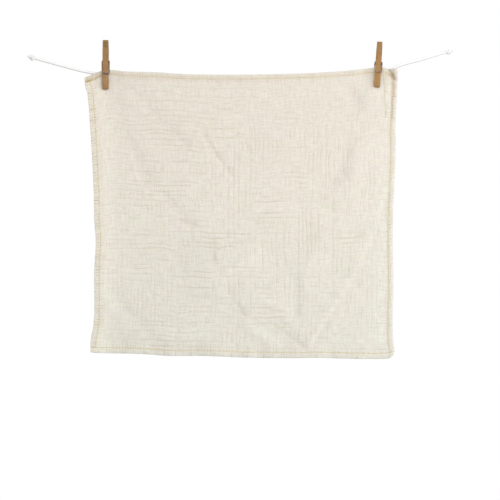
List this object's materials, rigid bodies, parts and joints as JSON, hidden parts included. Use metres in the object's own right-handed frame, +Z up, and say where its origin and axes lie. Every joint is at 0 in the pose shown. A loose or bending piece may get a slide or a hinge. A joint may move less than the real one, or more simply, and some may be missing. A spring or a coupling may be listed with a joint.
{
  "type": "muslin square on a clothes line with pegs",
  "caption": "Square double-gauze muslin cloth with stitched hems, hanging from a cord by wooden spring pegs clipped near its top corners.",
  "frame": {"origin": "the left end of the line's visible length, at the middle of the cord where it comes out of its knot", "axes": "+X along the line to the right, +Y away from the front of the cloth, +Z up"},
  "size_m": [0.6256, 0.0398, 0.4683],
  "materials": {
    "muslin": "crinkled unbleached cotton gauze",
    "cord": "twisted white cotton",
    "peg_wood": "plain, dry",
    "spring_wire": "dull wire"
  },
  "bodies": {
    "root": {"cloth": "muslin", "line": "cord", "line_knot_left": "cord", "line_knot_right": "cord", "peg_left_front": "peg_wood", "peg_left_back": "peg_wood", "peg_left_spring": "spring_wire", "peg_right_front": "peg_wood", "peg_right_back": "peg_wood", "peg_right_spring": "spring_wire"}
  },
  "joints": []
}
